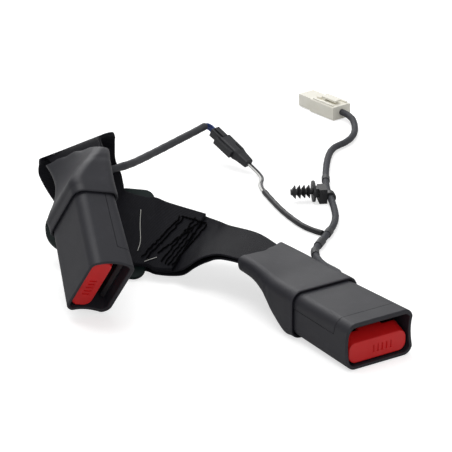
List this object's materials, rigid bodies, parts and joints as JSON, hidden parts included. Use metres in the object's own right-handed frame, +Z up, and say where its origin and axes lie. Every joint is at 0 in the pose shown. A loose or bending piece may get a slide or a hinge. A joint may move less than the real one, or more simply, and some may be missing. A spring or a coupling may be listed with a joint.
{
  "type": "seat belt buckle",
  "caption": "Twin rear seat belt buckle: two press-button heads in soft boots on one webbing anchor, with the belt switch wiring, clip and connectors.",
  "frame": {"origin": "bottom centre of the buckles, webbing and anchor plate as they lie on a flat surface, without the wiring", "axes": "+Z up, +X towards the right-hand buckle, -Y the way the buckle mouths face, +Y towards the harness connector"},
  "size_m": [0.2169, 0.4431, 0.0821],
  "materials": {
    "black_shell": "fine grain",
    "black_inner": "matte",
    "frame_steel": "stamped",
    "pin_steel": "turned",
    "spring_steel": "wire",
    "red_button": "satin",
    "soft_boot": "fine grain",
    "webbing": "woven",
    "plate_steel": "satin",
    "cord_grey": "satin",
    "wire_white": "satin",
    "wire_dark": "satin",
    "wire_blue": "satin",
    "grey_connector": "matte",
    "cream_connector": "satin",
    "terminal_brass": "satin",
    "clip_black": "matte",
    "tape_black": "matte tape"
  },
  "bodies": {
    "base": {"right_housing": "black_shell", "right_cover": "black_shell", "right_tongue_guide": "black_inner", "right_frame": "frame_steel", "right_latch_pin": "pin_steel", "right_latch_spring": "spring_steel", "right_ejector_spring": "spring_steel", "right_button_springs": "spring_steel", "right_belt_switch": "black_inner", "right_boot": "soft_boot", "right_boot_gland": "soft_boot", "right_webbing_top": "webbing", "right_webbing_bottom": "webbing", "left_housing": "black_shell", "left_cover": "black_shell", "left_tongue_guide": "black_inner", "left_frame": "frame_steel", "left_latch_pin": "pin_steel", "left_latch_spring": "spring_steel", "left_ejector_spring": "spring_steel", "left_button_springs": "spring_steel", "left_belt_switch": "black_inner", "left_boot": "soft_boot", "left_boot_gland": "soft_boot", "left_webbing_top": "webbing", "left_webbing_bottom": "webbing", "anchor_plate": "plate_steel", "trunk_cord": "cord_grey", "branch_cord": "cord_grey", "left_cord": "cord_grey", "lead_light": "wire_white", "lead_dark": "wire_dark", "left_leads": "wire_blue", "inline_plug": "black_inner", "inline_socket": "grey_connector", "main_connector": "cream_connector", "main_lock_arm": "cream_connector", "main_terminals": "terminal_brass", "cable_clip": "clip_black", "clip_tie": "clip_black", "tape_turns": "tape_black"},
    "right_button_body": {"right_button": "red_button", "right_lock_slider": "black_inner"},
    "right_ejector_body": {"right_ejector": "black_inner"},
    "right_latch_body": {"right_latch": "frame_steel"},
    "left_button_body": {"left_button": "red_button", "left_lock_slider": "black_inner"},
    "left_ejector_body": {"left_ejector": "black_inner"},
    "left_latch_body": {"left_latch": "frame_steel"}
  },
  "joints": [
    {"name": "right_button_slide", "type": "slide", "parent": "base", "child": "right_button_body", "axis": [-0.5664, 0.8241, 0], "range_m": [0, 0.006], "stiffness_N_per_m": 400, "springref_m": -0.008, "deforming": ["right_button_springs"]},
    {"name": "right_ejector_slide", "type": "slide", "parent": "base", "child": "right_ejector_body", "axis": [-0.5664, 0.8241, 0], "range_m": [0, 0.009], "stiffness_N_per_m": 300, "springref_m": -0.008, "deforming": ["right_ejector_spring"]},
    {"name": "right_latch_pivot", "type": "hinge", "parent": "base", "child": "right_latch_body", "pos_m": [0.06155, -0.03731, 0.0145], "axis": [-0.8241, -0.5664, 0], "range_deg": [0, 10], "deforming": ["right_latch_spring"]},
    {"name": "left_button_slide", "type": "slide", "parent": "base", "child": "left_button_body", "axis": [-0.2137, 0.8264, 0.521], "range_m": [0, 0.006], "stiffness_N_per_m": 400, "springref_m": -0.008, "deforming": ["left_button_springs"]},
    {"name": "left_ejector_slide", "type": "slide", "parent": "base", "child": "left_ejector_body", "axis": [-0.2137, 0.8264, 0.521], "range_m": [0, 0.009], "stiffness_N_per_m": 300, "springref_m": -0.008, "deforming": ["left_ejector_spring"]},
    {"name": "left_latch_pivot", "type": "hinge", "parent": "base", "child": "left_latch_body", "pos_m": [-0.07812, 0.01758, 0.04788], "axis": [0.3891, -0.4172, 0.8213], "range_deg": [0, 10], "deforming": ["left_latch_spring"]}
  ],
  "couplings": [
    {"joint": "right_latch_pivot", "follows": "right_ejector_slide", "rad_per_m": 19.39},
    {"joint": "left_latch_pivot", "follows": "left_ejector_slide", "rad_per_m": 19.39}
  ]
}
